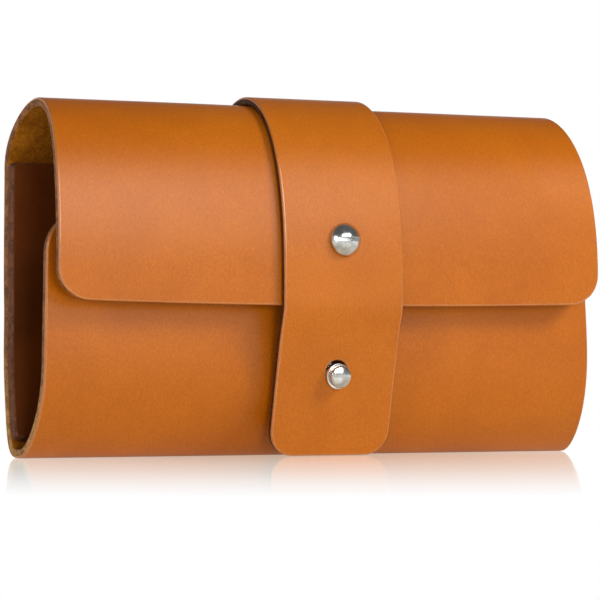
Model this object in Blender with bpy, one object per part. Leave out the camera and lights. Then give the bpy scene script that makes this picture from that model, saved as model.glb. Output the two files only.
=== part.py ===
"""Folded leather eyeglasses case with a screwed-on closing strap.

Frame: +X along the case, +Y towards its back, +Z up.
Origin: middle of the strip of the bottom fold that the case rests on.
Lengths below are in millimetres and angles in degrees; meshes are written in metres.
"""

import math

import bmesh
import bpy
import numpy as np
from mathutils import Matrix, Vector

MM = 0.001

# Leather thicknesses, and the space left between neighbouring solids.
HIDE_THICKNESS = 2.4
STRAP_THICKNESS = 2.1
PANEL_THICKNESS = 3.4
GAP = 0.3

# Side outline of the hide's outer face, followed from the front pocket's top edge under the case,
# up the back, over the top and down to the flap's lower edge. Each knot holds Y, Z, heading
# (0 is +Y, 90 is +Z), reach of the curve before it, reach after it, and half of the hide's width.
POCKET_TOP = (-15.0, 64.5, -93.0, 0.0, 11.0, 82.9)
POCKET_BELLY = (-16.4, 27.0, -90.0, 9.0, 16.5, 83.9)
REST_FRONT = (-1.5, 0.0, 0.0, 5.5, 0.0, 84.8)
REST_BACK = (1.5, 0.0, 0.0, 0.0, 5.0, 84.8)
HEEL = (8.5, 11.5, 82.0, 6.5, 18.0, 84.6)
BACK_MIDDLE = (12.9, 42.0, 87.0, 10.0, 9.0, 83.3)
FOLD_LINE = (16.7, 78.0, 90.0, 9.0, 9.0, 81.6)
CREST = (0.5, 95.8, 180.0, 8.7, 10.5, 79.2)
FLAP_FRONT = (-23.4, 49.5, 270.0, 35.0, 3.0, 83.0)
FLAP_EDGE = (-23.4, 40.6, 270.0, 3.0, 0.0, 83.0)
HIDE_KNOTS = [POCKET_TOP, POCKET_BELLY, REST_FRONT, REST_BACK, HEEL, BACK_MIDDLE, FOLD_LINE, CREST,
              FLAP_FRONT, FLAP_EDGE]

# The strap lies on the hide from its rear end to the bend above the flap's edge,
# then runs in towards the closing stud and on to the ground.
STRAP_REAR_END_HEIGHT = 36.0
STRAP_BEND_HEIGHT = 50.0
STRAP_HALF_WIDTH = 18.2
STRAP_LIFT = GAP + STRAP_THICKNESS
STRAP_AT_BEND = (FLAP_EDGE[0] - STRAP_LIFT, STRAP_BEND_HEIGHT, 270.0, 0.0, 3.0, STRAP_HALF_WIDTH)
STRAP_OVER_EDGE = (FLAP_EDGE[0] - STRAP_LIFT, 41.0, 270.0, 3.0, 2.0, STRAP_HALF_WIDTH)
STRAP_BELOW_EDGE = (-23.3, 31.5, 284.0, 4.0, 8.0, STRAP_HALF_WIDTH)
STRAP_TIP = (-16.4, 0.0, 282.0, 8.0, 0.0, STRAP_HALF_WIDTH)
TAIL_KNOTS = [STRAP_AT_BEND, STRAP_OVER_EDGE, STRAP_BELOW_EDGE, STRAP_TIP]

# Inner back panel: heights of the outer face behind its two ends, and its set-back from the hide's side.
PANEL_BOTTOM_HEIGHT = 3.0
PANEL_TOP_HEIGHT = 79.4
PANEL_INSET = 0.2

POCKET_CORNER_RADIUS = 10.0
FLAP_CORNER_RADIUS = 9.0
STRAP_CORNER_RADIUS = 7.0

# Two-part screws that clamp the strap: a slotted dome outside, a flanged post inside.
FLAP_SCREW_HEIGHT = 58.4
STRAP_SCREW_HEIGHT = 50.0
DOME_RADIUS = 4.5
DOME_RIM = 1.0
DOME_HEIGHT = 3.7
SHANK_RADIUS = 1.4
BARREL_RADIUS = 2.5
BARREL_BORE_RADIUS = 1.7
FLANGE_RADIUS = 4.5
FLANGE_THICKNESS = 0.9
SCREW_SLOT_WIDTH = 1.0
SCREW_SLOT_DEPTH = 1.2

# Closing stud on the front pocket, and the screw that holds it from inside.
STUD_HEIGHT = 22.3
STUD_BASE_RADIUS = 4.0
STUD_BASE_THICKNESS = 1.0
STUD_NECK_RADIUS = 2.0
STUD_NECK_TOP = 5.9
STUD_HEAD_RADIUS = 3.55
STUD_HEAD_THICKNESS = 2.8
STUD_RIM_THICKNESS = 1.3
STUD_FACE_RADIUS = 3.0
STUD_BORE_RADIUS = 1.3
STUD_BORE_DEPTH = 3.6
STUD_SCREW_RADIUS = 1.0
STUD_SCREW_LENGTH = 3.2
STUD_SCREW_HEAD_RADIUS = 4.0
STUD_SCREW_HEAD_THICKNESS = 0.9

# The strap's opening for the stud is long enough for a rigid strap to lift off with the flap.
STUD_OPENING_RADIUS = 4.0
STUD_OPENING_DROP = 4.6

# Fineness of the solids.
CURVE_STEPS = 60
MAX_TURN = 10.0
MAX_STEP = 14.0
CORNER_STEPS = 6
ROUND_SIDES = 32
HOLE_SIDES = 24
CUTTER_REACH = 9.0

# Colour, roughness and metallic value of each kind of material.
TAN_LEATHER = ((0.55, 0.20, 0.045), 0.45, 0.0)
DARK_LEATHER = ((0.16, 0.07, 0.03), 0.6, 0.0)
STEEL = ((0.72, 0.71, 0.69), 0.22, 1.0)


class Track:
    """A side outline that is measured by the distance run along it."""

    def __init__(self, rows, flat_ends=()):
        self.rows = rows
        steps = np.hypot(*np.diff(rows[:, :2], axis=0).T)
        self.runs = np.concatenate([[0.0], np.cumsum(steps)])
        slopes = np.gradient(rows[:, :2], self.runs, axis=0)
        self.headings = np.unwrap(np.arctan2(slopes[:, 1], slopes[:, 0]))
        self.length = float(self.runs[-1])
        self.flat_ends = [float(self.runs[row]) for row in flat_ends]

    def point(self, run, depth=0.0):
        """Y and Z at a distance along the outline, and a depth below the outer face."""
        y = np.interp(run, self.runs, self.rows[:, 0])
        z = np.interp(run, self.runs, self.rows[:, 1])
        heading = self.heading(run)
        return y - depth * math.sin(heading), z + depth * math.cos(heading)

    def heading(self, run):
        return float(np.interp(run, self.runs, self.headings))

    def half_width(self, run):
        return float(np.interp(run, self.runs, self.rows[:, 2]))

    def find(self, height, after=0.0, before=math.inf):
        """Distance at which the outline passes a height, between two distances."""
        inside = (self.runs >= after) & (self.runs <= before)
        order = np.argsort(self.rows[inside, 1])
        return float(np.interp(height, self.rows[inside, 1][order], self.runs[inside][order]))


def curve_rows(start, end):
    """Y, Z and half width along the cubic curve from one knot up to the next."""
    heading_out, heading_in = math.radians(start[2]), math.radians(end[2])
    begin, finish = np.array(start[:2]), np.array(end[:2])
    leave = begin + start[4] * np.array([math.cos(heading_out), math.sin(heading_out)])
    arrive = finish - end[3] * np.array([math.cos(heading_in), math.sin(heading_in)])
    t = np.linspace(0.0, 1.0, CURVE_STEPS, endpoint=False)[:, None]
    near_begin = (1 - t) ** 3 * begin + 3 * (1 - t) ** 2 * t * leave
    near_finish = 3 * (1 - t) * t ** 2 * arrive + t ** 3 * finish
    ease = t * t * (3 - 2 * t)
    return np.hstack([near_begin + near_finish, start[5] + (end[5] - start[5]) * ease])


def knot_rows(knots):
    pieces = [curve_rows(start, end) for start, end in zip(knots, knots[1:])]
    last = knots[-1]
    return np.vstack(pieces + [[last[0], last[1], last[5]]])


def strap_rows(hide, rear_run, bend_run):
    """The strap's outer face: lifted off the hide, then free below the bend."""
    runs = [run for run in hide.runs if rear_run < run < bend_run]
    lying = [(*hide.point(run, -STRAP_LIFT), STRAP_HALF_WIDTH) for run in [rear_run] + runs]
    return np.vstack([lying, knot_rows(TAIL_KNOTS)])


def station_runs(track, start, end, start_corner, end_corner):
    """Distances from start to end that follow the bends and the rounded corners."""
    angles = [math.radians(90.0 * step / CORNER_STEPS) for step in range(CORNER_STEPS + 1)]
    head = [start + start_corner * (1 - math.cos(angle)) for angle in angles] if start_corner else [start]
    tail = [end - end_corner * (1 - math.cos(angle)) for angle in angles] if end_corner else [end]
    middle = []
    last_run, last_heading = head[-1], track.heading(head[-1])
    for run in track.runs:
        turned = abs(math.degrees(track.heading(run) - last_heading))
        due = turned > MAX_TURN or run - last_run > MAX_STEP or run in track.flat_ends
        if due and last_run < run < tail[-1]:
            middle.append(float(run))
            last_run, last_heading = run, track.heading(run)
    return head + middle + tail[::-1]


def corner_inset(distance, radius):
    """How far a rounded corner pulls the side in, at a distance from the end."""
    if distance >= radius:
        return 0.0
    return radius - math.sqrt(radius ** 2 - (radius - distance) ** 2)


def new_object(name, mesh_builder, look):
    """Finished object from a bmesh, with a material of its own."""
    bmesh.ops.recalc_face_normals(mesh_builder, faces=mesh_builder.faces)
    mesh = bpy.data.meshes.new(name)
    mesh_builder.to_mesh(mesh)
    mesh_builder.free()
    item = bpy.data.objects.new(name, mesh)
    bpy.context.scene.collection.objects.link(item)
    if look:
        mesh.materials.append(new_material(name, *look))
        mesh.shade_smooth()
        mesh.set_sharp_from_angle(angle=math.radians(35))
    return item


def new_material(name, colour, roughness, metallic):
    material = bpy.data.materials.new(name)
    material.use_nodes = True
    shader = material.node_tree.nodes["Principled BSDF"]
    shader.inputs["Base Color"].default_value = (*colour, 1.0)
    shader.inputs["Roughness"].default_value = roughness
    shader.inputs["Metallic"].default_value = metallic
    return material


def sheet(name, track, start, end, layer, look, inset=0.0, corners=(0.0, 0.0)):
    """Closed sheet of leather along a track; layer holds its two depths below the outer face."""
    builder = bmesh.new()
    rings = []
    for run in station_runs(track, start, end, *corners):
        half = track.half_width(run) - inset
        half -= corner_inset(run - start, corners[0]) + corner_inset(end - run, corners[1])
        outer, inner = track.point(run, layer[0]), track.point(run, layer[1])
        places = [(-half, *outer), (half, *outer), (half, *inner), (-half, *inner)]
        rings.append([builder.verts.new(Vector(place) * MM) for place in places])
    for ring, following in zip(rings, rings[1:]):
        for side in range(4):
            other = (side + 1) % 4
            builder.faces.new((ring[side], ring[other], following[other], following[side]))
    builder.faces.new(rings[0])
    builder.faces.new(rings[-1])
    return new_object(name, builder, look)


def outward_frame(track, run):
    """Frame on a track's outer face: local X along the case, local Z straight out of the face."""
    y, z = track.point(run)
    heading = track.heading(run)
    out = Vector((0.0, math.sin(heading), -math.cos(heading)))
    along = Vector((1.0, 0.0, 0.0))
    up = out.cross(along)
    frame = Matrix((along, up, out)).transposed().to_4x4()
    frame.translation = Vector((0.0, y, z)) * MM
    return frame


def turned(name, outline, frame, look):
    """Solid of revolution about local Z; the outline holds radius and height, axis to axis."""
    builder = bmesh.new()
    verts = [builder.verts.new((radius * MM, 0.0, height * MM)) for radius, height in outline]
    edges = [builder.edges.new(pair) for pair in zip(verts, verts[1:])]
    bmesh.ops.spin(builder, geom=verts + edges, cent=(0, 0, 0), axis=(0, 0, 1), angle=math.tau,
                   steps=ROUND_SIDES, use_merge=True)
    bmesh.ops.remove_doubles(builder, verts=builder.verts, dist=0.00001)
    item = new_object(name, builder, look)
    item.matrix_world = frame
    return item


def make_cutter(name, builder, frame):
    cutter = new_object(name, builder, None)
    cutter.matrix_world = frame
    cutter.hide_render = True
    cutter.display_type = "WIRE"
    return cutter


def cut(item, cutter):
    modifier = item.modifiers.new(cutter.name, "BOOLEAN")
    modifier.operation = "DIFFERENCE"
    modifier.solver = "EXACT"
    modifier.object = cutter


def cut_hole(items, name, frame, radius, drop=0.0):
    """Round hole through leather along local Z, lengthened downwards by the drop."""
    builder = bmesh.new()
    half_turn = [math.pi * step / (HOLE_SIDES // 2) for step in range(HOLE_SIDES // 2 + 1)]
    upper = [(radius * math.cos(angle), radius * math.sin(angle)) for angle in half_turn]
    lower = [(-x, -y - drop) for x, y in upper]
    if not drop:
        lower = lower[1:-1]
    floor = [builder.verts.new(Vector((x, y, -CUTTER_REACH)) * MM) for x, y in upper + lower]
    base = builder.faces.new(floor)
    walls = bmesh.ops.extrude_face_region(builder, geom=[base])["geom"]
    lifted = [piece for piece in walls if isinstance(piece, bmesh.types.BMVert)]
    bmesh.ops.translate(builder, verts=lifted, vec=(0.0, 0.0, 2 * CUTTER_REACH * MM))
    cutter = make_cutter(name, builder, frame)
    for item in items:
        cut(item, cutter)


def dome(radius, rim_top, top):
    """Radius and height from a dome's crown out to the top of its rim."""
    angles = [math.radians(90.0 * step / CORNER_STEPS) for step in range(CORNER_STEPS + 1)]
    return [(radius * math.sin(angle), rim_top + (top - rim_top) * math.cos(angle)) for angle in angles]


def make_two_part_screw(screw_name, post_name, frame, stack):
    """Slotted domed screw on the outside of a stack of leather, and its flanged post inside."""
    seat = GAP
    bore_floor = -stack - GAP - FLANGE_THICKNESS / 2
    crown = dome(DOME_RADIUS, seat + DOME_RIM, seat + DOME_HEIGHT)
    tip = bore_floor + GAP
    shank = [(DOME_RADIUS, seat), (SHANK_RADIUS, seat), (SHANK_RADIUS, tip), (0.0, tip)]
    screw = turned(screw_name, crown + shank, frame, STEEL)
    builder = bmesh.new()
    size = Vector((2 * FLANGE_RADIUS + 1, SCREW_SLOT_WIDTH, 2 * SCREW_SLOT_DEPTH)) * MM
    bmesh.ops.create_cube(builder, size=1.0, matrix=Matrix.Diagonal(size).to_4x4())
    top = frame @ Matrix.Translation(Vector((0.0, 0.0, seat + DOME_HEIGHT)) * MM)
    cut(screw, make_cutter(screw_name + "_slot", builder, top))
    flange_top, flange_bottom = -stack - GAP, -stack - GAP - FLANGE_THICKNESS
    barrel_top = seat - 2 * GAP
    outline = [(0.0, bore_floor), (BARREL_BORE_RADIUS, bore_floor), (BARREL_BORE_RADIUS, barrel_top),
               (BARREL_RADIUS, barrel_top), (BARREL_RADIUS, flange_top), (FLANGE_RADIUS, flange_top),
               (FLANGE_RADIUS, flange_bottom), (0.0, flange_bottom)]
    post = turned(post_name, outline, frame, STEEL)
    return screw, post


def make_closing_stud(frame):
    """Knob with a base flange on the pocket, and its screw from the inside."""
    head_top = STUD_NECK_TOP + STUD_HEAD_THICKNESS
    rim_top = STUD_NECK_TOP + STUD_RIM_THICKNESS
    outline = [(0.0, head_top), (STUD_FACE_RADIUS, head_top - 0.3), (STUD_HEAD_RADIUS, rim_top),
               (STUD_HEAD_RADIUS, STUD_NECK_TOP), (STUD_NECK_RADIUS, STUD_NECK_TOP),
               (STUD_NECK_RADIUS, GAP + STUD_BASE_THICKNESS), (STUD_BASE_RADIUS, GAP + STUD_BASE_THICKNESS),
               (STUD_BASE_RADIUS, GAP), (STUD_BORE_RADIUS, GAP), (STUD_BORE_RADIUS, GAP + STUD_BORE_DEPTH),
               (0.0, GAP + STUD_BORE_DEPTH)]
    turned("closing_stud", outline, frame, STEEL)
    seat = -HIDE_THICKNESS - GAP
    outline = [(0.0, STUD_SCREW_LENGTH), (STUD_SCREW_RADIUS, STUD_SCREW_LENGTH), (STUD_SCREW_RADIUS, seat),
               (STUD_SCREW_HEAD_RADIUS, seat), (STUD_SCREW_HEAD_RADIUS, seat - STUD_SCREW_HEAD_THICKNESS),
               (0.0, seat - STUD_SCREW_HEAD_THICKNESS)]
    turned("stud_screw", outline, frame, STEEL)


def hang_on(name, place, items, parent=None):
    """Empty on a joint's axis that carries the pieces that move with it."""
    pivot = bpy.data.objects.new(name, None)
    bpy.context.scene.collection.objects.link(pivot)
    pivot.location = place
    home = Matrix.Translation(place)
    for item in items:
        item.parent = pivot
        item.matrix_parent_inverse = home.inverted()
    if parent:
        pivot.parent = parent
        pivot.matrix_parent_inverse = Matrix.Translation(parent.location).inverted()
    return pivot


def clear_scene():
    for item in list(bpy.data.objects):
        bpy.data.objects.remove(item, do_unlink=True)


def build():
    clear_scene()
    strip_ends = [HIDE_KNOTS.index(knot) * CURVE_STEPS for knot in (REST_FRONT, REST_BACK)]
    hide = Track(knot_rows(HIDE_KNOTS), strip_ends)
    rest_run = hide.flat_ends[1]
    crest_run = float(hide.runs[np.argmax(hide.rows[:, 1])])
    fold_run = hide.find(FOLD_LINE[1], rest_run, crest_run)
    on_hide = (0.0, HIDE_THICKNESS)

    shell = sheet("body_shell", hide, 0.0, fold_run - GAP / 2, on_hide, TAN_LEATHER,
                  corners=(POCKET_CORNER_RADIUS, 0.0))
    flap = sheet("flap", hide, fold_run + GAP / 2, hide.length, on_hide, TAN_LEATHER,
                 corners=(0.0, FLAP_CORNER_RADIUS))
    panel_layer = (HIDE_THICKNESS + GAP, HIDE_THICKNESS + GAP + PANEL_THICKNESS)
    panel_start = hide.find(PANEL_BOTTOM_HEIGHT, rest_run, crest_run)
    panel_end = hide.find(PANEL_TOP_HEIGHT, rest_run, crest_run)
    panel = sheet("inner_back_panel", hide, panel_start, panel_end, panel_layer, DARK_LEATHER,
                  inset=PANEL_INSET)

    rear_run = hide.find(STRAP_REAR_END_HEIGHT, rest_run, crest_run)
    bend_run = hide.find(STRAP_BEND_HEIGHT, crest_run)
    strap = Track(strap_rows(hide, rear_run, bend_run))
    strap_crest_run = float(strap.runs[np.argmax(strap.rows[:, 1])])
    strap_fold_run = strap.find(FOLD_LINE[1], 0.0, strap_crest_run)
    strap_bend_run = strap.find(STRAP_BEND_HEIGHT, strap_crest_run)
    on_strap = (0.0, STRAP_THICKNESS)
    strap_back = sheet("strap_back", strap, 0.0, strap_fold_run - GAP / 2, on_strap, TAN_LEATHER,
                       corners=(STRAP_CORNER_RADIUS, 0.0))
    strap_front = sheet("strap_front", strap, strap_fold_run + GAP / 2, strap_bend_run - GAP / 2, on_strap,
                        TAN_LEATHER)
    strap_tail = sheet("strap_tail", strap, strap_bend_run + GAP / 2, strap.length, on_strap, TAN_LEATHER,
                       corners=(0.0, STRAP_CORNER_RADIUS))

    barrel_hole = BARREL_RADIUS + GAP
    flap_screw_frame = outward_frame(strap, strap.find(FLAP_SCREW_HEIGHT, strap_crest_run))
    flap_stack = STRAP_LIFT + HIDE_THICKNESS
    flap_screw = make_two_part_screw("flap_screw", "flap_screw_post", flap_screw_frame, flap_stack)
    cut_hole([flap, strap_front], "flap_screw_hole", flap_screw_frame, barrel_hole)

    strap_screw_frame = outward_frame(strap, strap.find(STRAP_SCREW_HEIGHT, 0.0, strap_crest_run))
    back_stack = flap_stack + GAP + PANEL_THICKNESS
    make_two_part_screw("strap_screw", "strap_screw_post", strap_screw_frame, back_stack)
    cut_hole([strap_back, shell, panel], "strap_screw_hole", strap_screw_frame, barrel_hole)

    stud_frame = outward_frame(hide, hide.find(STUD_HEIGHT, 0.0, rest_run))
    make_closing_stud(stud_frame)
    cut_hole([shell], "stud_screw_hole", stud_frame, STUD_SCREW_RADIUS + GAP)
    cut_hole([strap_tail], "stud_opening", stud_frame, STUD_OPENING_RADIUS, STUD_OPENING_DROP)

    fold_axis = Vector((0.0, FOLD_LINE[0] + STRAP_LIFT, FOLD_LINE[1])) * MM
    bend_axis = Vector((0.0, STRAP_AT_BEND[0], STRAP_BEND_HEIGHT)) * MM
    flap_pivot = hang_on("flap_pivot", fold_axis, [flap, strap_front, *flap_screw])
    hang_on("strap_tail_pivot", bend_axis, [strap_tail], flap_pivot)


build()
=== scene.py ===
"""Looks of the folded leather eyeglasses case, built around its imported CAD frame.

Shapes are worked out in millimetres in the frame's own axes (+X along the case, +Y to its back,
+Z up, origin on the strip that it rests on) and written to meshes in metres.
"""

import math

import bmesh
import bpy
import numpy as np
from mathutils import Matrix, Vector


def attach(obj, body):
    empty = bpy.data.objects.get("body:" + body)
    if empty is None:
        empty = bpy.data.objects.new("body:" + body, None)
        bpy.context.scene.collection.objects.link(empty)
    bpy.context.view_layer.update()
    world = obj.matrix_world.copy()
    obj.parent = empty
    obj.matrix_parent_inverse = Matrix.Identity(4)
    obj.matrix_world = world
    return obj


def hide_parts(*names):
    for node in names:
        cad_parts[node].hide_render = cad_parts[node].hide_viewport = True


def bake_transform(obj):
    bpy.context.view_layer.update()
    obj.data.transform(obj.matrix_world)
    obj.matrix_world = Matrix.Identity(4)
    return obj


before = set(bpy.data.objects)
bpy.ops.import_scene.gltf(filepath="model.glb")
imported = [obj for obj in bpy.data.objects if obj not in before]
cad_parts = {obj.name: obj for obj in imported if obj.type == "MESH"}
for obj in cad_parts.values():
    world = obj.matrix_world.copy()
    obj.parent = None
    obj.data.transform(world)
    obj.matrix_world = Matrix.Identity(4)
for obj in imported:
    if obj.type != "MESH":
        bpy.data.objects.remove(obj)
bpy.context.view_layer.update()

MM = 0.001

# Leather thicknesses and the gaps between neighbours.
HIDE_THICKNESS = 2.4
STRAP_THICKNESS = 2.1
PANEL_THICKNESS = 3.4
GAP = 0.3
SEAT = 0.05
STRAP_LIFT = GAP + STRAP_THICKNESS
EDGE_ROUNDING = 0.55

# Side outline of the hide's outer face: Y, Z, heading (0 is +Y, 90 is +Z), reach of the curve before
# the knot, reach after it, and half of the hide's width there.
HIDE_KNOTS = [
    (-15.0, 64.5, -93.0, 0.0, 11.0, 82.9),
    (-16.4, 27.0, -90.0, 9.0, 16.5, 83.9),
    (-1.5, 0.0, 0.0, 5.5, 0.0, 84.8),
    (1.5, 0.0, 0.0, 0.0, 5.0, 84.8),
    (8.5, 11.5, 82.0, 6.5, 18.0, 84.6),
    (12.9, 42.0, 87.0, 10.0, 9.0, 83.3),
    (16.7, 78.0, 90.0, 9.0, 9.0, 81.6),
    (0.5, 95.8, 180.0, 8.7, 10.5, 79.2),
    (-23.4, 49.5, 270.0, 35.0, 3.0, 83.0),
    (-23.4, 40.6, 270.0, 3.0, 0.0, 83.0),
]
FOLD_HEIGHT = 78.0

# The strap: where it starts on the back, where it leaves the hide, and its free lower end in the
# same terms as the hide's outline.
STRAP_REAR_END_HEIGHT = 36.0
STRAP_BEND_HEIGHT = 50.0
STRAP_HALF_WIDTH = 18.2
STRAP_WAIST = 0.7
TAIL_KNOTS = [
    (-25.8, 50.0, 270.0, 0.0, 3.0, STRAP_HALF_WIDTH),
    (-25.8, 41.0, 270.0, 3.0, 2.0, STRAP_HALF_WIDTH),
    (-23.3, 31.5, 284.0, 4.0, 8.0, STRAP_HALF_WIDTH),
    (-16.4, 0.0, 282.0, 8.0, 0.0, STRAP_HALF_WIDTH),
]

PANEL_BOTTOM_HEIGHT = 3.0
PANEL_TOP_HEIGHT = 79.4
PANEL_INSET = 0.2

POCKET_CORNER_RADIUS = 10.0
FLAP_CORNER_RADIUS = 9.0
STRAP_CORNER_RADIUS = 7.0
PANEL_CORNER_RADIUS = 1.5
FLAP_EDGE_BOW = 0.6
BOW_REACH = 25.0

# Unevenness of the hide, and how far from the ground strip it sets in.
HIDE_WAVES = 0.05
FLAT_REACH = 9.0

# Fittings: heights of their centres and the radii of the leather's holes for them.
FLAP_SCREW_HEIGHT = 58.4
STRAP_SCREW_HEIGHT = 50.0
STUD_HEIGHT = 22.3
STUD_HOLE_RADIUS = 3.35
STUD_HOLE_RISE = 0.35
SCREW_HOLE_RADIUS = 2.8
STUD_SCREW_HOLE_RADIUS = 1.3

# Mesh resolution.
CURVE_STEPS = 80
ROW_STEP = 1.6
COLUMN_STEP = 3.2
STRAP_COLUMN_STEP = 1.6
HOLE_MARGIN = 1.2
RIM_STEPS = 4
MIN_EDGE_COLUMN = 2.0


class Track:
    """A side outline that is measured by the distance run along it."""

    def __init__(self, rows):
        self.rows = rows
        steps = np.hypot(*np.diff(rows[:, :2], axis=0).T)
        self.runs = np.concatenate([[0.0], np.cumsum(steps)])
        slopes = np.gradient(rows[:, :2], self.runs, axis=0)
        self.headings = np.unwrap(np.arctan2(slopes[:, 1], slopes[:, 0]))
        self.length = float(self.runs[-1])

    def heading(self, run):
        return np.interp(run, self.runs, self.headings)

    def half_width(self, run):
        return np.interp(run, self.runs, self.rows[:, 2])

    def point(self, run, depth=0.0):
        """Y and Z at a distance along the outline and a depth below the outer face."""
        y = np.interp(run, self.runs, self.rows[:, 0])
        z = np.interp(run, self.runs, self.rows[:, 1])
        heading = self.heading(run)
        return y - depth * np.sin(heading), z + depth * np.cos(heading)

    def find(self, height, after=0.0, before=math.inf):
        """Distance at which the outline passes a height, between two distances."""
        inside = (self.runs >= after) & (self.runs <= before)
        order = np.argsort(self.rows[inside, 1])
        return float(np.interp(height, self.rows[inside, 1][order], self.runs[inside][order]))


def curve_rows(start, end):
    """Y, Z and half width along the cubic curve from one knot up to the next."""
    heading_out, heading_in = math.radians(start[2]), math.radians(end[2])
    begin, finish = np.array(start[:2]), np.array(end[:2])
    leave = begin + start[4] * np.array([math.cos(heading_out), math.sin(heading_out)])
    arrive = finish - end[3] * np.array([math.cos(heading_in), math.sin(heading_in)])
    t = np.linspace(0.0, 1.0, CURVE_STEPS, endpoint=False)[:, None]
    places = (1 - t) ** 3 * begin + 3 * (1 - t) ** 2 * t * leave
    places += 3 * (1 - t) * t ** 2 * arrive + t ** 3 * finish
    ease = t * t * (3 - 2 * t)
    return np.hstack([places, start[5] + (end[5] - start[5]) * ease])


def knot_rows(knots):
    """Rows of the whole outline through a list of knots."""
    pieces = [curve_rows(start, end) for start, end in zip(knots, knots[1:])]
    last = knots[-1]
    return np.vstack(pieces + [[last[0], last[1], last[5]]])


HIDE = Track(knot_rows(HIDE_KNOTS))
REST_RUN = HIDE.find(0.0, before=HIDE.length / 2)
CREST_RUN = float(HIDE.runs[np.argmax(HIDE.rows[:, 1])])
FOLD_RUN = HIDE.find(FOLD_HEIGHT, REST_RUN, CREST_RUN)


def strap_rows():
    """The strap's outer face: lifted off the hide, then free below the bend."""
    rear = HIDE.find(STRAP_REAR_END_HEIGHT, REST_RUN, CREST_RUN)
    bend = HIDE.find(STRAP_BEND_HEIGHT, CREST_RUN)
    runs = np.array([rear] + [run for run in HIDE.runs if rear < run < bend])
    y, z = HIDE.point(runs, -STRAP_LIFT)
    waist = STRAP_WAIST * np.exp(-((runs - CREST_RUN) / 20.0) ** 2)
    lying = np.stack([y, z, STRAP_HALF_WIDTH - waist], axis=1)
    return np.vstack([lying, knot_rows(TAIL_KNOTS)])


STRAP = Track(strap_rows())
STRAP_CREST_RUN = float(STRAP.runs[np.argmax(STRAP.rows[:, 1])])
STRAP_FOLD_RUN = STRAP.find(FOLD_HEIGHT, 0.0, STRAP_CREST_RUN)
STRAP_BEND_RUN = STRAP.find(STRAP_BEND_HEIGHT, STRAP_CREST_RUN)


def spread(stops, step):
    """Values through every stop, evenly spaced between them at about the step."""
    values = [stops[0]]
    for low, high in zip(stops, stops[1:]):
        count = max(1, round((high - low) / step))
        values += [low + (high - low) * (k + 1) / count for k in range(count)]
    return np.array(values)


def undulation(x, run, amount):
    """Slow unevenness of a sheet's surface in millimetres, none where the case stands on the ground."""
    wave = np.sin(x / 17.0 + run / 23.0) + 0.7 * np.sin(x / 29.0 - run / 13.0 + 1.3)
    away_from_ground = 1 - np.exp(-((run - REST_RUN) / FLAT_REACH) ** 2)
    return amount * away_from_ground * (wave + 0.5 * np.sin(x / 9.0 + run / 31.0 + 2.1))


class Sheet:
    """Grid over a sheet of leather, whose boundary is a rectangle with rounded corners."""

    def __init__(self, track, start, end, layer, corners=(0.0, 0.0), inset=0.0, seams=(), bow=0.0,
                 waves=0.0, column_step=COLUMN_STEP):
        self.track, self.start, self.end, self.layer = track, start, end, layer
        self.corners, self.inset, self.bow, self.waves = corners, inset, bow, waves
        stops = sorted({start, end, *seams, start + corners[0], end - corners[1]})
        self.runs = spread(stops, ROW_STEP)
        widest = float(track.half_width(self.runs).max()) - inset
        corner = max(*corners, MIN_EDGE_COLUMN)
        self.columns = spread([-1.0, -1.0 + corner / widest, 1.0 - corner / widest, 1.0],
                              column_step / widest)
        self.widest = widest

    def place(self, column, row, edge_inset, depth):
        """Positions in millimetres of grid points, drawn in from the boundary by edge_inset."""
        run, across = self.runs[row], self.columns[column]
        half = self.track.half_width(run) - self.inset
        x = across * self.widest
        x, run = self.round_corners(x, run, edge_inset)
        x = x * half / self.widest
        nearness = np.clip((run - self.end + BOW_REACH) / BOW_REACH, 0.0, 1.0)
        run = run - 2.0 * self.bow * nearness ** 2 * (x / self.widest) ** 2
        depth = depth + undulation(x, run, self.waves)
        y, z = self.track.point(run, depth)
        return np.stack([x, y, z], axis=-1)

    def round_corners(self, x, run, edge_inset):
        """Rectangle to rounded rectangle: each corner square goes to a quarter disc."""
        scale = (self.widest - edge_inset) / self.widest
        x = x * scale
        middle, reach = (self.start + self.end) / 2, (self.end - self.start) / 2
        run = middle + (run - middle) * (reach - edge_inset) / reach
        for sign, radius in ((-1, self.corners[0]), (1, self.corners[1])):
            if not radius:
                continue
            radius = radius - edge_inset
            centre_x = self.widest - edge_inset - radius
            centre_run = middle + sign * (reach - edge_inset - radius)
            a = np.clip((np.abs(x) - centre_x) / radius, 0.0, 1.0)
            b = np.clip(sign * (run - centre_run) / radius, 0.0, 1.0)
            inside = (a > 0) & (b > 0)
            new_x = np.sign(x) * (centre_x + radius * a * np.sqrt(1 - b * b / 2))
            new_run = centre_run + sign * radius * b * np.sqrt(1 - a * a / 2)
            x = np.where(inside, new_x, x)
            run = np.where(inside, new_run, run)
        return x, run


def rim_profile(layer):
    """Inset and depth from the outer face round the cut edge to the inner face."""
    top, bottom = layer
    angles = [math.radians(90.0 * step / RIM_STEPS) for step in range(RIM_STEPS + 1)]
    outer = [(EDGE_ROUNDING * (1 - math.sin(a)), top + EDGE_ROUNDING * (1 - math.cos(a)))
             for a in angles]
    inner = [(inset, bottom - (depth - top)) for inset, depth in reversed(outer)]
    return outer + inner


def boundary_loop(rows, columns):
    """Row and column of each grid point along a block's edge, once round."""
    (low_row, high_row), (low_column, high_column) = rows, columns
    loop = [(low_row, column) for column in range(low_column, high_column)]
    loop += [(row, high_column) for row in range(low_row, high_row)]
    loop += [(high_row, column) for column in range(high_column, low_column, -1)]
    return loop + [(row, low_column) for row in range(high_row, low_row, -1)]


# Material slots: outer face, cut edge, inner face and the rounded rim between outer face and edge.
GRAIN, EDGE, FLESH, RIM = 0, 1, 2, 3


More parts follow.
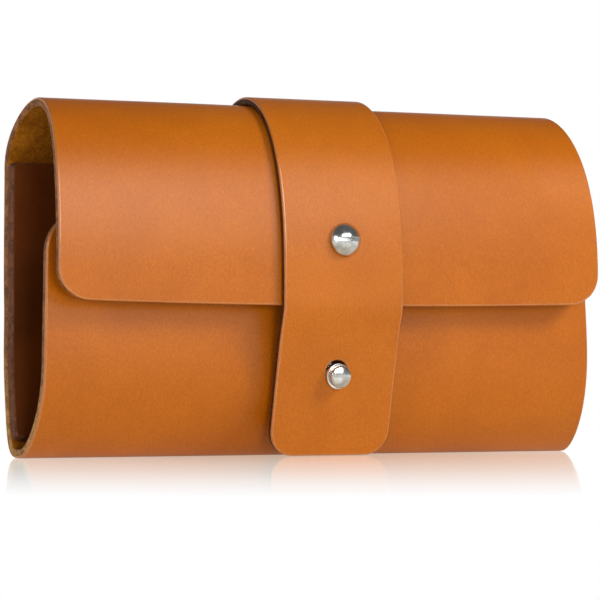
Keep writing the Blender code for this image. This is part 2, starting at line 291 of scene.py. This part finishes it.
class SheetSurface:
    """Whole closed surface of one sheet: vertices, faces, what each face is, and its row."""

    def __init__(self, sheet, holes=()):
        self.sheet = sheet
        self.vertices, self.faces, self.kinds, self.rows, self.flat = [], [], [], [], []
        self.row_count, self.column_count = len(sheet.runs), len(sheet.columns)
        top, bottom = sheet.layer
        blocks = [self.block_round(*hole) for hole in holes]
        grids = [self.add_grid(depth) for depth in (top, bottom)]
        for grid, kind, flipped in zip(grids, (GRAIN, FLESH), (False, True)):
            self.add_grid_faces(grid, kind, flipped, blocks)
        outline = boundary_loop((0, self.row_count - 1), (0, self.column_count - 1))
        self.add_rim(outline, grids)
        for hole, block in zip(holes, blocks):
            self.add_hole(hole, boundary_loop(*block), grids)
        self.finish_arrays()

    def add_points(self, points):
        """Numbers of the vertices that the points become."""
        first = len(self.vertices)
        self.vertices.extend(points)
        return list(range(first, len(self.vertices)))

    def add_grid(self, depth):
        """Vertex numbers of one broad face's grid, by row and column."""
        rows, columns = np.mgrid[0:self.row_count, 0:self.column_count]
        points = self.sheet.place(columns.ravel(), rows.ravel(), EDGE_ROUNDING, depth)
        return np.array(self.add_points(list(points))).reshape(rows.shape)

    def add_face(self, corners, kind, row, flat):
        self.faces.append(corners)
        self.kinds.append(kind)
        self.rows.append(min(row, self.row_count - 2))
        self.flat.append(flat)

    def add_grid_faces(self, grid, kind, flipped, blocks):
        for row in range(self.row_count - 1):
            for column in range(self.column_count - 1):
                if any(low_row <= row < high_row and low_column <= column < high_column
                       for (low_row, high_row), (low_column, high_column) in blocks):
                    continue
                corners = [grid[row, column], grid[row, column + 1],
                           grid[row + 1, column + 1], grid[row + 1, column]]
                self.add_face(corners[::-1] if flipped else corners, kind, row, True)

    def band_kind(self, step):
        """What a band of the rim is, counted from the outer face."""
        steps = len(rim_profile(self.sheet.layer)) - 1
        if step < RIM_STEPS:
            return RIM
        return FLESH if step >= steps - 1 else EDGE

    def add_rim(self, outline, grids):
        """Bands round the sheet's boundary, from the outer face to the inner face."""
        profile = rim_profile(self.sheet.layer)
        rows = np.array([row for row, _ in outline])
        columns = np.array([column for _, column in outline])
        rings = [[grids[0][place] for place in outline]]
        for inset, depth in profile[1:-1]:
            rings.append(self.add_points(list(self.sheet.place(columns, rows, inset, depth))))
        rings.append([grids[1][place] for place in outline])
        for step, (ring, following) in enumerate(zip(rings, rings[1:])):
            for here in range(len(outline)):
                there = (here + 1) % len(outline)
                corners = [ring[there], ring[here], following[here], following[there]]
                row = min(outline[here][0], outline[there][0])
                self.add_face(corners, self.band_kind(step), row, False)

    def block_round(self, run, radius):
        """Rows and columns of the block of cells that gives way to a hole."""
        reach = radius + HOLE_MARGIN
        across = self.sheet.columns * self.sheet.widest
        low_row = int(np.flatnonzero(self.sheet.runs <= run - reach)[-1])
        high_row = int(np.flatnonzero(self.sheet.runs >= run + reach)[0])
        low_column = int(np.flatnonzero(across <= -reach)[-1])
        high_column = int(np.flatnonzero(across >= reach)[0])
        return (low_row, high_row), (low_column, high_column)

    def add_hole(self, hole, loop, grids):
        """Round hole with a rolled rim, inside a block that the grids leave out."""
        run, radius = hole
        spots = [(self.sheet.columns[column] * self.sheet.widest, self.sheet.runs[row] - run)
                 for row, column in loop]
        angles = np.array([math.atan2(rise, across) for across, rise in spots])
        profile = rim_profile(self.sheet.layer)
        rings = [[grids[0][place] for place in loop]]
        for inset, depth in profile:
            x = (radius + inset) * np.cos(angles)
            y, z = self.sheet.track.point(run + (radius + inset) * np.sin(angles), depth)
            rings.append(self.add_points(list(np.stack([x, y, z], axis=-1))))
        rings.append([grids[1][place] for place in loop])
        for step, (ring, following) in enumerate(zip(rings, rings[1:])):
            on_face = step in (0, len(rings) - 2)
            kind = (GRAIN if step == 0 else FLESH) if on_face else self.band_kind(step - 1)
            for here in range(len(loop)):
                there = (here + 1) % len(loop)
                corners = [ring[here], ring[there], following[there], following[here]]
                self.add_face(corners, kind, loop[0][0], on_face)

    def finish_arrays(self):
        """Arrays, with each vertex's normal taken from the broad faces where it touches one."""
        self.vertices = np.array(self.vertices)
        faces = np.array(self.faces)
        corners = self.vertices[faces]
        normals = np.cross(corners[:, 2] - corners[:, 0], corners[:, 3] - corners[:, 1])
        broad, narrow = np.zeros_like(self.vertices), np.zeros_like(self.vertices)
        flat = np.array(self.flat)
        for corner in range(4):
            np.add.at(broad, faces[flat, corner], normals[flat])
            np.add.at(narrow, faces[~flat, corner], normals[~flat])
        touches = np.linalg.norm(broad, axis=1) > 1e-9
        chosen = np.where(touches[:, None], broad, narrow)
        self.normals = chosen / np.maximum(np.linalg.norm(chosen, axis=1), 1e-12)[:, None]
        middle = (self.row_count // 2) * self.column_count + self.column_count // 2
        below = self.row_count * self.column_count + middle
        out = self.vertices[middle] - self.vertices[below]
        if np.dot(self.normals[middle], out) < 0:
            self.normals = -self.normals
            faces = faces[:, ::-1]
        self.faces = faces
        self.kinds, self.rows = np.array(self.kinds), np.array(self.rows)

    def piece(self, name, materials, start=-math.inf, end=math.inf):
        """Object of the stretch between two runs, smooth across its seams."""
        middles = (self.sheet.runs[self.rows] + self.sheet.runs[self.rows + 1]) / 2
        chosen = (middles > start) & (middles < end)
        faces = self.faces[chosen]
        used, renumbered = np.unique(faces, return_inverse=True)
        renumbered = renumbered.reshape(faces.shape).tolist()
        mesh = bpy.data.meshes.new(name)
        mesh.from_pydata((self.vertices[used] * MM).tolist(), [], renumbered)
        for material in materials:
            mesh.materials.append(material)
        mesh.polygons.foreach_set("material_index", self.kinds[chosen].astype(np.int32))
        mesh.shade_smooth()
        mesh.normals_split_custom_set_from_vertices(self.normals[used].tolist())
        mesh.update()
        return link(bpy.data.objects.new(name, mesh))


def link(item):
    bpy.context.scene.collection.objects.link(item)
    return item


# Materials.

BLACK = (0.0, 0.0, 0.0)
WHITE = (1.0, 1.0, 1.0)


def new_material(name):
    material = bpy.data.materials.new(name)
    material.use_nodes = True
    return material, material.node_tree, material.node_tree.nodes["Principled BSDF"]


def noise(tree, coordinates, scale, detail=4.0, roughness=0.55, distortion=0.0):
    node = tree.nodes.new("ShaderNodeTexNoise")
    node.inputs["Scale"].default_value = scale
    node.inputs["Detail"].default_value = detail
    node.inputs["Roughness"].default_value = roughness
    node.inputs["Distortion"].default_value = distortion
    tree.links.new(coordinates, node.inputs["Vector"])
    return node.outputs["Fac"]


def stretched(tree, coordinates, scale):
    """Coordinates scaled along each axis, for streaks."""
    node = tree.nodes.new("ShaderNodeMapping")
    node.inputs["Scale"].default_value = scale
    tree.links.new(coordinates, node.inputs["Vector"])
    return node.outputs["Vector"]


def ramp(tree, value, stops):
    """Colour ramp through (position, colour) stops."""
    node = tree.nodes.new("ShaderNodeValToRGB")
    elements = node.color_ramp.elements
    while len(elements) < len(stops):
        elements.new(0.5)
    for element, (position, colour) in zip(elements, stops):
        element.position = position
        element.color = (*colour, 1.0)
    tree.links.new(value, node.inputs["Fac"])
    return node.outputs["Color"]


def mix(tree, share, first, second, blend_type="MIX"):
    """Mixed colour; each of the three inputs is a socket, a colour or a number."""
    node = tree.nodes.new("ShaderNodeMix")
    node.data_type = "RGBA"
    node.blend_type = blend_type
    for socket, value in zip((node.inputs[0], node.inputs[6], node.inputs[7]), (share, first, second)):
        if isinstance(value, bpy.types.NodeSocket):
            tree.links.new(value, socket)
        elif isinstance(value, tuple):
            socket.default_value = (*value, 1.0)
        else:
            socket.default_value = value
    return node.outputs[2]


def remap(tree, value, low, high):
    """A value between 0 and 1 spread between low and high."""
    node = tree.nodes.new("ShaderNodeMapRange")
    node.inputs["To Min"].default_value = low
    node.inputs["To Max"].default_value = high
    tree.links.new(value, node.inputs["Value"])
    return node.outputs["Result"]


def bump(tree, shader, layers):
    """Bump from (height, distance in millimetres, strength) layers, coarse to fine."""
    previous = None
    for height, distance, strength in layers:
        node = tree.nodes.new("ShaderNodeBump")
        node.inputs["Distance"].default_value = distance * MM
        node.inputs["Strength"].default_value = strength
        tree.links.new(height, node.inputs["Height"])
        if previous is not None:
            tree.links.new(previous, node.inputs["Normal"])
        previous = node.outputs["Normal"]
    tree.links.new(previous, shader.inputs["Normal"])


def object_coordinates(tree):
    return tree.nodes.new("ShaderNodeTexCoord").outputs["Object"]


def grain_leather(name, dark, light, roughness=(0.30, 0.42), shine=0.34):
    """Smooth dyed grain: cloudy tone, fine pores and short hair streaks."""
    material, tree, shader = new_material(name)
    place = object_coordinates(tree)
    clouds = noise(tree, place, 45.0, 3.0, 0.5, 0.4)
    pores = noise(tree, place, 2600.0, 2.0, 0.5)
    fibre = noise(tree, stretched(tree, place, (1.0, 0.45, 0.3)), 3000.0, 3.0, 0.6, 0.3)
    base = ramp(tree, clouds, [(0.3, dark), (0.72, light)])
    speckle = ramp(tree, pores, [(0.3, (0.86, 0.84, 0.82)), (0.62, (1.04, 1.04, 1.04))])
    streaks = ramp(tree, fibre, [(0.3, (0.90, 0.89, 0.87)), (0.7, (1.06, 1.06, 1.07))])
    toned = mix(tree, 1.0, mix(tree, 1.0, base, speckle, "MULTIPLY"), streaks, "MULTIPLY")
    tree.links.new(toned, shader.inputs["Base Color"])
    tree.links.new(remap(tree, fibre, *roughness), shader.inputs["Roughness"])
    bump(tree, shader, [(clouds, 0.25, 0.25), (fibre, 0.05, 0.4), (pores, 0.03, 0.45)])
    shader.inputs["Specular IOR Level"].default_value = shine
    return material


def edge_tone(tree, coarse, fine, dark, light):
    """Coarse and fine mottling between two tones."""
    layers = ramp(tree, coarse, [(0.40, dark), (0.62, light)])
    return mix(tree, 0.45, layers, ramp(tree, fine, [(0.40, dark), (0.62, light)]))


def edge_leather(name, dark, light, foot=None):
    """Cut and rubbed edge: layered fibres, in another pair of tones near the ground where asked for."""
    material, tree, shader = new_material(name)
    place = object_coordinates(tree)
    coarse = noise(tree, place, 380.0, 5.0, 0.7, 0.6)
    fine = noise(tree, place, 2600.0, 4.0, 0.6)
    tone = edge_tone(tree, coarse, fine, dark, light)
    if foot:
        split = tree.nodes.new("ShaderNodeSeparateXYZ")
        tree.links.new(place, split.inputs["Vector"])
        near_ground = ramp(tree, split.outputs["Z"], [(0.010, WHITE), (0.032, BLACK)])
        tone = mix(tree, near_ground, tone, edge_tone(tree, coarse, fine, *foot))
    tree.links.new(tone, shader.inputs["Base Color"])
    tree.links.new(remap(tree, coarse, 0.55, 0.8), shader.inputs["Roughness"])
    shader.inputs["Specular IOR Level"].default_value = 0.12
    bump(tree, shader, [(coarse, 0.12, 0.5), (fine, 0.05, 0.5)])
    return material


def flesh_leather(name, dark, light):
    """Suede-like flesh side: long soft fibres, no shine."""
    material, tree, shader = new_material(name)
    place = object_coordinates(tree)
    nap = noise(tree, place, 260.0, 6.0, 0.7, 1.0)
    hairs = noise(tree, place, 1800.0, 5.0, 0.7, 0.5)
    soft = ramp(tree, nap, [(0.3, dark), (0.7, light)])
    fine = ramp(tree, hairs, [(0.35, dark), (0.65, light)])
    tree.links.new(mix(tree, 0.4, soft, fine), shader.inputs["Base Color"])
    shader.inputs["Roughness"].default_value = 0.95
    shader.inputs["Specular IOR Level"].default_value = 0.05
    bump(tree, shader, [(nap, 0.2, 0.6), (hairs, 0.1, 0.6)])
    return material


def polished_steel(name, roughness=(0.15, 0.26)):
    """Nickel-plated steel with faint turning marks."""
    material, tree, shader = new_material(name)
    place = object_coordinates(tree)
    smear = noise(tree, place, 350.0, 4.0, 0.6, 0.8)
    marks = noise(tree, place, 3000.0, 3.0, 0.6)
    tone = ramp(tree, smear, [(0.3, (0.50, 0.50, 0.48)), (0.7, (0.80, 0.80, 0.77))])
    tree.links.new(tone, shader.inputs["Base Color"])
    tree.links.new(remap(tree, smear, *roughness), shader.inputs["Roughness"])
    shader.inputs["Metallic"].default_value = 1.0
    bump(tree, shader, [(marks, 0.01, 0.25)])
    return material


GRAIN_TAN = grain_leather("tan_grain", (0.53, 0.131, 0.001), (0.60, 0.158, 0.002))
STRAP_TAN = grain_leather("strap_grain", (0.55, 0.141, 0.002), (0.62, 0.168, 0.005))
# The panel's face is a brown of its own, made darker still as painted shade of the dim inside of the
# case.
PANEL_BROWN_AND_PAINTED_SHADE = grain_leather("panel_grain_painted_shade", (0.10, 0.023, 0.002), (0.16, 0.037, 0.004),
                            roughness=(0.5, 0.65), shine=0.12)
# The rounded rim is glossier than the grain and catches the side fill; its tone is also paler and pinker,
# a painted highlight along the edges.
BURNISHED_RIM_WITH_PAINTED_HIGHLIGHT = grain_leather("burnished_rim_painted_highlight", (0.56, 0.165, 0.015), (0.66, 0.21, 0.03),
                              roughness=(0.18, 0.28), shine=0.9)
CUT_EDGE = edge_leather("cut_edge", (0.08, 0.028, 0.011), (0.45, 0.19, 0.068),
                        foot=((0.20, 0.085, 0.020), (0.78, 0.42, 0.15)))
STRAP_EDGE = edge_leather("strap_edge", (0.035, 0.014, 0.006), (0.13, 0.058, 0.025))
# The panel's cut edge is a purple brown of its own, darkened throughout as painted shade of its dark
# lower end inside the case.
PANEL_EDGE_AND_PAINTED_SHADE = edge_leather("panel_edge_painted_shade", (0.06, 0.020, 0.010), (0.26, 0.098, 0.046))
FLESH_SIDE = flesh_leather("flesh_side", (0.11, 0.030, 0.002), (0.66, 0.235, 0.014))
STEEL = polished_steel("nickel_steel")
HIDE_LOOK = (GRAIN_TAN, CUT_EDGE, FLESH_SIDE, BURNISHED_RIM_WITH_PAINTED_HIGHLIGHT)
STRAP_LOOK = (STRAP_TAN, STRAP_EDGE, FLESH_SIDE, BURNISHED_RIM_WITH_PAINTED_HIGHLIGHT)
PANEL_LOOK = (FLESH_SIDE, PANEL_EDGE_AND_PAINTED_SHADE, PANEL_BROWN_AND_PAINTED_SHADE, FLESH_SIDE)


# Leather pieces. Each sheet is cut into pieces at its fold and at the strap's bend.


def make_hide():
    """Pocket, back and flap in one sheet, shown as two pieces that meet at the fold."""
    sheet = Sheet(HIDE, 0.0, HIDE.length, (0.0, HIDE_THICKNESS),
                  (POCKET_CORNER_RADIUS, FLAP_CORNER_RADIUS),
                  seams=(FOLD_RUN,), bow=FLAP_EDGE_BOW, waves=HIDE_WAVES)
    holes = [(HIDE.find(STUD_HEIGHT, 0.0, REST_RUN), STUD_SCREW_HOLE_RADIUS),
             (HIDE.find(STRAP_SCREW_HEIGHT, REST_RUN, CREST_RUN), SCREW_HOLE_RADIUS),
             (HIDE.find(FLAP_SCREW_HEIGHT, CREST_RUN), SCREW_HOLE_RADIUS)]
    whole = SheetSurface(sheet, holes)
    case = whole.piece("case_hide", HIDE_LOOK, end=FOLD_RUN)
    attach(case, "case")
    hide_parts("body_shell")
    flap = whole.piece("flap_hide", HIDE_LOOK, start=FOLD_RUN)
    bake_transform(flap)
    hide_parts("flap")


def make_inner_panel():
    """Stiffening panel inside the back."""
    start = HIDE.find(PANEL_BOTTOM_HEIGHT, REST_RUN, CREST_RUN)
    end = HIDE.find(PANEL_TOP_HEIGHT, REST_RUN, CREST_RUN)
    layer = (HIDE_THICKNESS + SEAT, HIDE_THICKNESS + GAP + PANEL_THICKNESS)
    sheet = Sheet(HIDE, start, end, layer, (PANEL_CORNER_RADIUS, PANEL_CORNER_RADIUS),
                  inset=PANEL_INSET)
    hole = (HIDE.find(STRAP_SCREW_HEIGHT, REST_RUN, CREST_RUN), SCREW_HOLE_RADIUS)
    panel = SheetSurface(sheet, [hole]).piece("back_panel", PANEL_LOOK)
    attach(panel, "case")
    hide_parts("inner_back_panel")


def make_strap():
    """Closing strap in one sheet, shown as three pieces that meet at the fold and at its bend."""
    sheet = Sheet(STRAP, 0.0, STRAP.length, (0.0, STRAP_THICKNESS),
                  (STRAP_CORNER_RADIUS, STRAP_CORNER_RADIUS),
                  seams=(STRAP_FOLD_RUN, STRAP_BEND_RUN), column_step=STRAP_COLUMN_STEP)
    holes = [(STRAP.find(STRAP_SCREW_HEIGHT, 0.0, STRAP_CREST_RUN), SCREW_HOLE_RADIUS),
             (STRAP.find(FLAP_SCREW_HEIGHT, STRAP_CREST_RUN), SCREW_HOLE_RADIUS),
             (STRAP.find(STUD_HEIGHT, STRAP_CREST_RUN) - STUD_HOLE_RISE, STUD_HOLE_RADIUS)]
    whole = SheetSurface(sheet, holes)
    back = whole.piece("strap_rear_end", STRAP_LOOK, end=STRAP_FOLD_RUN)
    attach(back, "case")
    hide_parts("strap_back")
    over = whole.piece("strap_over_flap", STRAP_LOOK, STRAP_FOLD_RUN, STRAP_BEND_RUN)
    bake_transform(over)
    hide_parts("strap_front")
    tail = whole.piece("strap_lower_end", STRAP_LOOK, start=STRAP_BEND_RUN)
    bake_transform(tail)
    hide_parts("strap_tail")


# Steel pieces, turned about their own axis; outlines hold radius and height above the seat.

TURNED_SIDES = 96
STEEL_ROUNDING = 0.12
DOME_RADIUS = 4.5
DOME_RIM = 1.0
DOME_HEIGHT = 3.7
SLOT_WIDTH = 1.1
SLOT_DEPTH = 1.7
SHANK_RADIUS = 1.4
BARREL_RADIUS = 2.5
BARREL_BORE_RADIUS = 1.7
FLANGE_RADIUS = 4.5
FLANGE_THICKNESS = 0.9
FLANGE_CHAMFER = 1.2
STUD_BASE_RADIUS = 4.0
STUD_BASE_THICKNESS = 1.0
STUD_NECK_RADIUS = 2.0
STUD_NECK_TOP = 4.6
STUD_RIM_RADIUS = 3.5
STUD_RIM_THICKNESS = 1.6
STUD_CAP_RADIUS = 3.05
STUD_TOP = 8.55
STUD_CAP_ROUNDING = 0.6
STUD_CROWN = 0.7
STUD_RECESS = 0.35
STUD_SCREW_HEAD_RADIUS = 4.0
STUD_SCREW_HEAD_THICKNESS = 0.9
STUD_SCREW_HEAD_EDGE = 0.3
STUD_SCREW_CHAMFER = 0.8
STUD_SCREW_RADIUS = 1.0
STUD_SCREW_TIP = 0.1


def outward_frame(track, run):
    """Frame on a track's outer face: local X along the case, local Z straight out of the face."""
    y, z = track.point(run)
    heading = float(track.heading(run))
    out = Vector((0.0, math.sin(heading), -math.cos(heading)))
    along = Vector((1.0, 0.0, 0.0))
    turned_frame = Matrix((along, out.cross(along), out)).transposed().to_4x4()
    turned_frame.translation = Vector((0.0, y, z)) * MM
    return turned_frame


def arc(centre, radius, start, end, steps=8):
    """Points on an arc from one angle to another, in degrees from the radius axis."""
    angles = [math.radians(start + (end - start) * step / steps) for step in range(steps + 1)]
    return [(centre[0] + radius * math.cos(angle), centre[1] + radius * math.sin(angle))
            for angle in angles]


def cap_profile(radius, low, high, steps=16):
    """Spherical cap from its crown down to its rim."""
    rise = high - low
    ball = (radius ** 2 + rise ** 2) / (2 * rise)
    widest = math.asin(radius / ball)
    angles = [widest * step / steps for step in range(steps + 1)]
    return [(ball * math.sin(angle), high - ball * (1 - math.cos(angle))) for angle in angles]


def apply_modifiers(item):
    """The item's mesh as its modifiers leave it, in place of both."""
    graph = bpy.context.evaluated_depsgraph_get()
    mesh = bpy.data.meshes.new_from_object(item.evaluated_get(graph))
    item.modifiers.clear()
    item.data = mesh


def cut_slot(item, height):
    """Straight driver slot across a head whose crown is at the height."""
    builder = bmesh.new()
    size = Vector((3 * DOME_RADIUS, SLOT_WIDTH, 2 * SLOT_DEPTH)) * MM
    bmesh.ops.create_cube(builder, size=1.0, matrix=Matrix.Diagonal(size).to_4x4())
    mesh = bpy.data.meshes.new("slot_cutter")
    builder.to_mesh(mesh)
    builder.free()
    cutter = link(bpy.data.objects.new("slot_cutter", mesh))
    cutter.location = (0.0, 0.0, height * MM)
    cut = item.modifiers.new("slot", "BOOLEAN")
    cut.operation = "DIFFERENCE"
    cut.solver = "EXACT"
    cut.object = cutter
    return cutter


def turned(name, outline, frame_matrix, body, node, slot_height=None):
    """Steel solid of revolution with softened edges, and a driver slot where one is asked for."""
    builder = bmesh.new()
    verts = [builder.verts.new((radius * MM, 0.0, height * MM)) for radius, height in outline]
    edges = [builder.edges.new(pair) for pair in zip(verts, verts[1:])]
    bmesh.ops.spin(builder, geom=verts + edges, cent=(0, 0, 0), axis=(0, 0, 1), angle=math.tau,
                   steps=TURNED_SIDES, use_merge=True)
    bmesh.ops.remove_doubles(builder, verts=builder.verts, dist=0.005 * MM)
    bmesh.ops.recalc_face_normals(builder, faces=builder.faces)
    mesh = bpy.data.meshes.new(name)
    builder.to_mesh(mesh)
    builder.free()
    mesh.materials.append(STEEL)
    item = link(bpy.data.objects.new(name, mesh))
    cutter = cut_slot(item, slot_height) if slot_height else None
    soften = item.modifiers.new("softened_edges", "BEVEL")
    soften.width = STEEL_ROUNDING * MM
    soften.segments = 3
    soften.limit_method = "ANGLE"
    soften.angle_limit = math.radians(38)
    soften.use_clamp_overlap = True
    apply_modifiers(item)
    if cutter:
        bpy.data.objects.remove(cutter)
    item.data.shade_smooth()
    item.data.set_sharp_from_angle(angle=math.radians(50))
    item.matrix_world = frame_matrix
    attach(item, body)
    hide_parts(node)


def make_two_part_screw(name, nodes, frame_matrix, stack, body):
    """Slotted dome outside a stack of leather, and the flanged post inside it."""
    floor = -stack - FLANGE_THICKNESS / 2
    crown = cap_profile(DOME_RADIUS, DOME_RIM, DOME_HEIGHT)
    shank = [(DOME_RADIUS, SEAT), (SHANK_RADIUS, SEAT), (SHANK_RADIUS, floor + GAP), (0.0, floor + GAP)]
    turned(name + "_head", crown + shank, frame_matrix, body, nodes[0], DOME_HEIGHT)
    flange = -stack - SEAT
    outline = [(0.0, floor), (BARREL_BORE_RADIUS, floor), (BARREL_BORE_RADIUS, -GAP),
               (BARREL_RADIUS, -GAP), (BARREL_RADIUS, flange), (FLANGE_RADIUS, flange),
               (FLANGE_RADIUS, flange - FLANGE_THICKNESS / 2),
               (FLANGE_RADIUS - FLANGE_CHAMFER, flange - FLANGE_THICKNESS),
               (0.0, flange - FLANGE_THICKNESS)]
    turned(name + "_post", outline, frame_matrix, body, nodes[1])


def make_closing_stud():
    """Button stud that the strap's hole goes over, and the screw that holds it from inside."""
    stud_frame = outward_frame(HIDE, HIDE.find(STUD_HEIGHT, 0.0, REST_RUN))
    rim_top = STUD_NECK_TOP + STUD_RIM_THICKNESS
    shoulder = STUD_TOP - STUD_CROWN
    crown = cap_profile(STUD_CAP_RADIUS - STUD_CAP_ROUNDING / 3, shoulder, STUD_TOP, steps=8)
    corner = (STUD_CAP_RADIUS - STUD_CAP_ROUNDING, shoulder - STUD_CAP_ROUNDING * 0.75)
    rounding = arc(corner, STUD_CAP_ROUNDING, 48, 0, steps=5)
    groove = STUD_CAP_RADIUS - STUD_RECESS
    outline = [*crown, *rounding, (STUD_CAP_RADIUS, rim_top + STUD_RECESS),
               (groove, rim_top + STUD_RECESS), (groove, rim_top), (STUD_RIM_RADIUS, rim_top),
               (STUD_RIM_RADIUS, STUD_NECK_TOP), (STUD_NECK_RADIUS, STUD_NECK_TOP),
               (STUD_NECK_RADIUS, STUD_BASE_THICKNESS), (STUD_BASE_RADIUS, STUD_BASE_THICKNESS),
               (STUD_BASE_RADIUS, SEAT), (0.0, SEAT)]
    turned("stud_knob", outline, stud_frame, "case", "closing_stud")
    inside = -HIDE_THICKNESS - SEAT
    under = inside - STUD_SCREW_HEAD_THICKNESS
    outline = [(0.0, -STUD_SCREW_TIP), (STUD_SCREW_RADIUS, -STUD_SCREW_TIP), (STUD_SCREW_RADIUS, inside),
               (STUD_SCREW_HEAD_RADIUS, inside), (STUD_SCREW_HEAD_RADIUS, under + STUD_SCREW_HEAD_EDGE),
               (STUD_SCREW_HEAD_RADIUS - STUD_SCREW_CHAMFER, under), (0.0, under)]
    turned("stud_fixing_screw", outline, stud_frame, "case", "stud_screw")


def make_steel():
    """Both two-part screws and the stud; a stack is the leather between a head and its flange."""
    flap_stack = STRAP_LIFT + HIDE_THICKNESS
    flap_frame = outward_frame(STRAP, STRAP.find(FLAP_SCREW_HEIGHT, STRAP_CREST_RUN))
    make_two_part_screw("flap_fixing", ("flap_screw", "flap_screw_post"),
                        flap_frame, flap_stack, "flap")
    back_stack = flap_stack + GAP + PANEL_THICKNESS
    back_frame = outward_frame(STRAP, STRAP.find(STRAP_SCREW_HEIGHT, 0.0, STRAP_CREST_RUN))
    make_two_part_screw("strap_fixing", ("strap_screw", "strap_screw_post"),
                        back_frame, back_stack, "case")
    make_closing_stud()


# Camera, floor and lights. The camera's figures are degrees and millimetres; the floor's, the
# world's and the lights' places are metres, and lights are watts.

CAMERA_AZIMUTH = -28.0
CAMERA_PITCH = 1.13
CAMERA_RANGE = 925.66
CAMERA_HEIGHT = 24.4
CAMERA_LENS = 200.9
SENSOR_WIDTH = 36.0


def make_camera():
    data = bpy.data.cameras.new("camera")
    data.lens, data.sensor_width = CAMERA_LENS, SENSOR_WIDTH
    data.clip_start, data.clip_end = 0.05, 20.0
    camera = link(bpy.data.objects.new("camera", data))
    turn = math.radians(-CAMERA_AZIMUTH)
    ahead = Vector((math.sin(turn), math.cos(turn), 0.0))
    camera.location = (-ahead * CAMERA_RANGE + Vector((0.0, 0.0, CAMERA_HEIGHT))) * MM
    camera.rotation_euler = (math.radians(90.0 + CAMERA_PITCH), 0.0, -turn)
    bpy.context.scene.camera = camera


FLOOR_SIZE = 6.0
FLOOR_DROP = 0.01 * MM
# Near the case the floor's tone and glow are cream: a painted warm reflection of the orange leather, kept
# near the case along with the gloss by the fade.
FLOOR_TONE_PAINTED_WARMTH = (0.49, 0.475, 0.40)
FLOOR_GLOW_PAINTED_WARMTH = (0.98, 0.95, 0.80)
FLOOR_GLOSS_AND_PAINTED_WARMTH_FADE = [(0.03, (0.02,) * 3), (0.15, (0.40,) * 3), (0.24, (0.78,) * 3), (0.30, WHITE)]


def make_floor():
    """Pale glossy floor near the case, tinted cream there as a painted warm reflection of the leather,
    that fades to plain white further out.
    """
    mesh = bpy.data.meshes.new("floor")
    builder = bmesh.new()
    bmesh.ops.create_grid(builder, x_segments=1, y_segments=1, size=FLOOR_SIZE)
    builder.to_mesh(mesh)
    builder.free()
    floor = link(bpy.data.objects.new("floor", mesh))
    floor.location = (0.0, 0.0, -FLOOR_DROP)
    material, tree, shader = new_material("pale_floor")
    shader.inputs["Base Color"].default_value = (*FLOOR_TONE_PAINTED_WARMTH, 1.0)
    shader.inputs["Emission Color"].default_value = (*FLOOR_GLOW_PAINTED_WARMTH, 1.0)
    shader.inputs["Emission Strength"].default_value = 0.32
    shader.inputs["Roughness"].default_value = 0.06
    shader.inputs["Specular IOR Level"].default_value = 0.45
    matt = tree.nodes.new("ShaderNodeEmission")
    matt.inputs["Strength"].default_value = 1.0
    distance = tree.nodes.new("ShaderNodeVectorMath")
    distance.operation = "LENGTH"
    tree.links.new(object_coordinates(tree), distance.inputs[0])
    fade = ramp(tree, distance.outputs["Value"], FLOOR_GLOSS_AND_PAINTED_WARMTH_FADE)
    join = tree.nodes.new("ShaderNodeMixShader")
    tree.links.new(fade, join.inputs["Fac"])
    tree.links.new(shader.outputs["BSDF"], join.inputs[1])
    tree.links.new(matt.outputs["Emission"], join.inputs[2])
    tree.links.new(join.outputs["Shader"], tree.nodes["Material Output"].inputs["Surface"])
    mesh.materials.append(material)


def area_light(name, place, aim, size, power, colour):
    """Rectangular lamp at a place, turned towards its aim."""
    data = bpy.data.lights.new(name, "AREA")
    data.shape = "RECTANGLE"
    data.size, data.size_y = size
    data.energy, data.color = power, colour
    lamp = link(bpy.data.objects.new(name, data))
    lamp.location = place
    lamp.rotation_euler = (Vector(aim) - Vector(place)).to_track_quat("-Z", "Y").to_euler()
    return lamp


WORLD_BEHIND = WHITE
WORLD_IN_FRONT = (0.28, 0.28, 0.29)
WORLD_OVERHEAD = (0.12, 0.12, 0.125)
LAMP_AIM = (0.0, 0.0, 0.05)


def make_world():
    """Pale studio: a white wall behind the case, dimmer in front and overhead."""
    world = bpy.data.worlds.new("studio")
    world.use_nodes = True
    tree = world.node_tree
    background = tree.nodes["Background"]
    direction = tree.nodes.new("ShaderNodeTexCoord").outputs["Generated"]
    split = tree.nodes.new("ShaderNodeSeparateXYZ")
    tree.links.new(direction, split.inputs["Vector"])
    height, backness = split.outputs["Z"], split.outputs["Y"]
    wall = ramp(tree, height, [(0.0, WORLD_BEHIND), (0.24, WORLD_BEHIND), (0.50, WORLD_OVERHEAD)])
    room = ramp(tree, height, [(0.0, WORLD_IN_FRONT), (0.5, WORLD_OVERHEAD)])
    share = ramp(tree, backness, [(0.30, BLACK), (0.60, WHITE)])
    tree.links.new(mix(tree, share, room, wall), background.inputs["Color"])
    background.inputs["Strength"].default_value = 1.0
    bpy.context.scene.world = world


def make_lights():
    """Key and fills for the leather's tone, and a softbox that shows only in reflections."""
    key = area_light("key", (0.50, -0.50, 0.50), LAMP_AIM, (0.26, 0.26), 3.6, (1.0, 0.98, 0.95))
    key.visible_glossy = False
    softbox = area_light("softbox", (0.05, -0.70, 0.36), LAMP_AIM, (0.70, 0.40), 5.0, (1.0, 0.98, 0.97))
    softbox.visible_diffuse = False
    front = area_light("front_fill", (-0.20, -1.10, 0.14), LAMP_AIM, (0.35, 0.25), 3.0, (1.0, 0.98, 0.96))
    front.visible_glossy = False
    area_light("side_fill", (-0.9, -0.4, 0.30), LAMP_AIM, (0.35, 0.35), 1.3, (1.0, 0.98, 0.98))


make_camera()
make_hide()
make_inner_panel()
make_strap()
make_steel()
make_floor()
make_world()
make_lights()
bpy.context.scene.view_settings.view_transform = "Standard"
